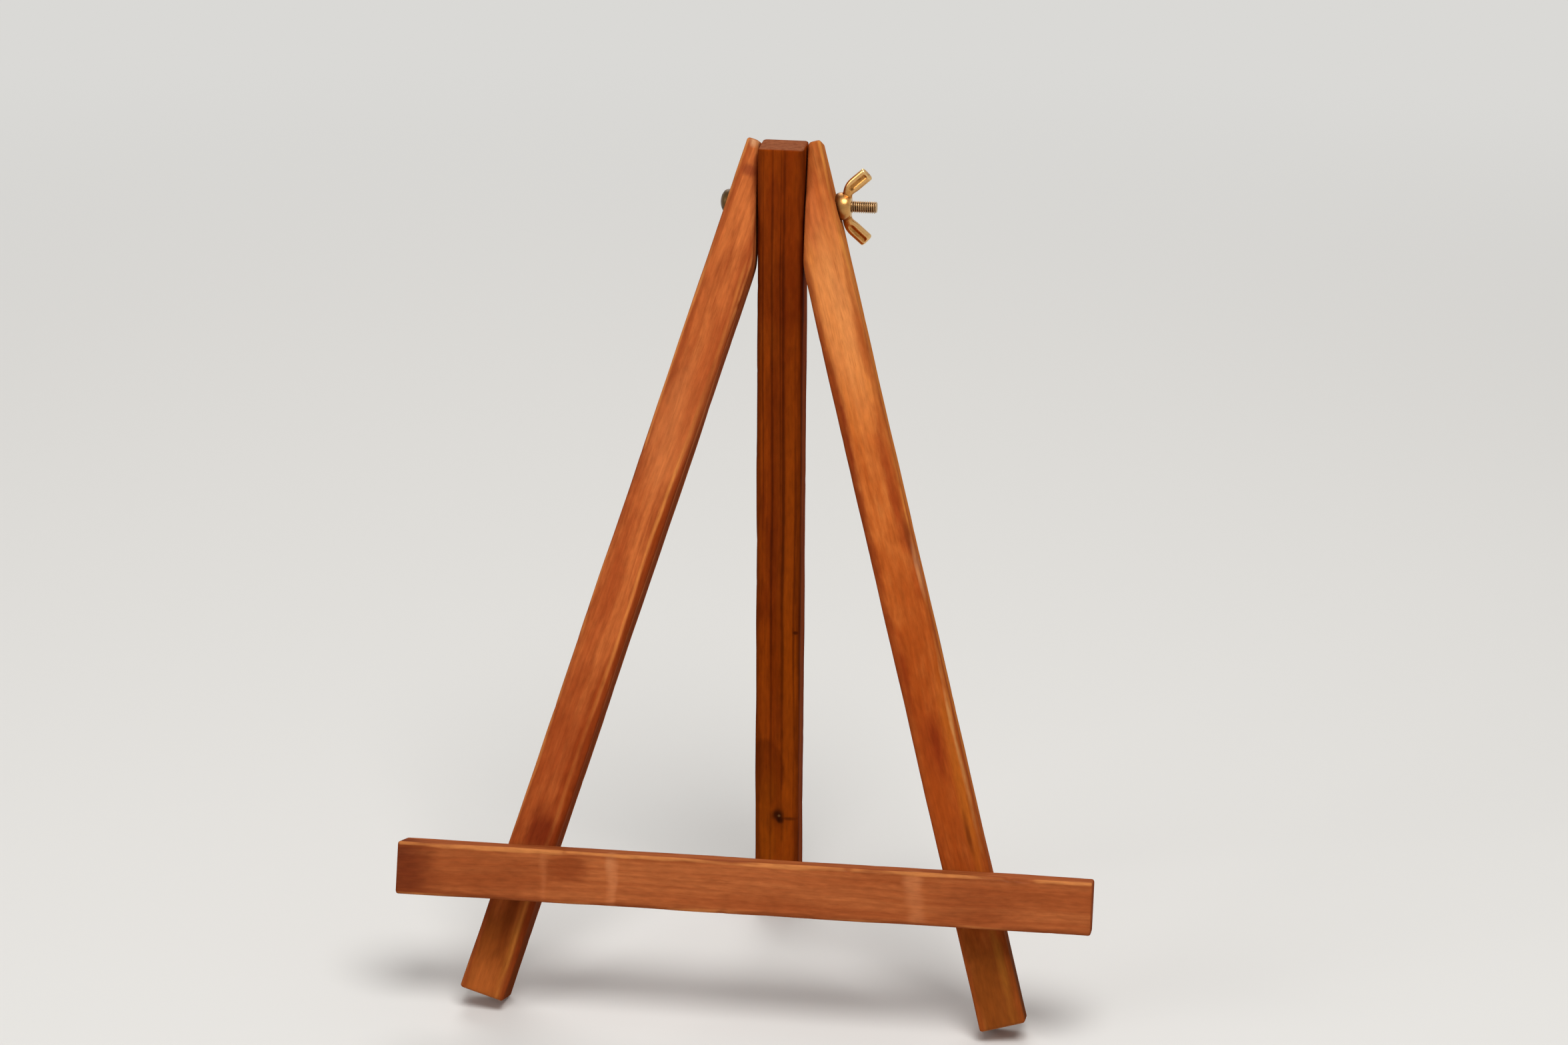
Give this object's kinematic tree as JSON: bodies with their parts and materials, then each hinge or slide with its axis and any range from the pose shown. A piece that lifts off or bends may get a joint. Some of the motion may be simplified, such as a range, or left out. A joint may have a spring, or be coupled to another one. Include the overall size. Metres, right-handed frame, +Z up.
{
  "type": "tabletop easel",
  "caption": "Small tabletop easel of stained wooden strips: splayed front legs with a picture ledge, and a rear leg that swings on a bolt and wing nut.",
  "frame": {"origin": "on the surface that the feet stand on, under the middle of the easel's box", "axes": "+X to the viewer's right along the bolt, +Y away from the viewer, +Z up"},
  "size_m": [0.222, 0.117, 0.2735],
  "materials": {
    "stained_wood": "reddish orange-brown stain under satin varnish",
    "dark_stained_wood": "dark red-brown stain under satin varnish",
    "aged_brass": "dull plated",
    "brass": "bright, worn",
    "plated_steel": "yellow zinc plated"
  },
  "bodies": {
    "front_frame": {"front_leg_left": "stained_wood", "front_leg_right": "stained_wood", "ledge": "stained_wood", "pivot_bolt": "aged_brass", "ledge_screws": "plated_steel"},
    "rear_leg": {"rear_leg": "dark_stained_wood"},
    "wing_nut": {"wing_nut": "brass"}
  },
  "joints": [
    {"name": "rear_leg_swing", "type": "hinge", "parent": "front_frame", "child": "rear_leg", "pos_m": [0, 0.02906, 0.25199], "axis": [1, 0, 0], "range_deg": [-21.9, 68]},
    {"name": "wing_nut_turn", "type": "hinge", "parent": "front_frame", "child": "wing_nut", "pos_m": [0.01705, 0.02906, 0.25199], "axis": [1, 0, 0], "continuous": true}
  ]
}
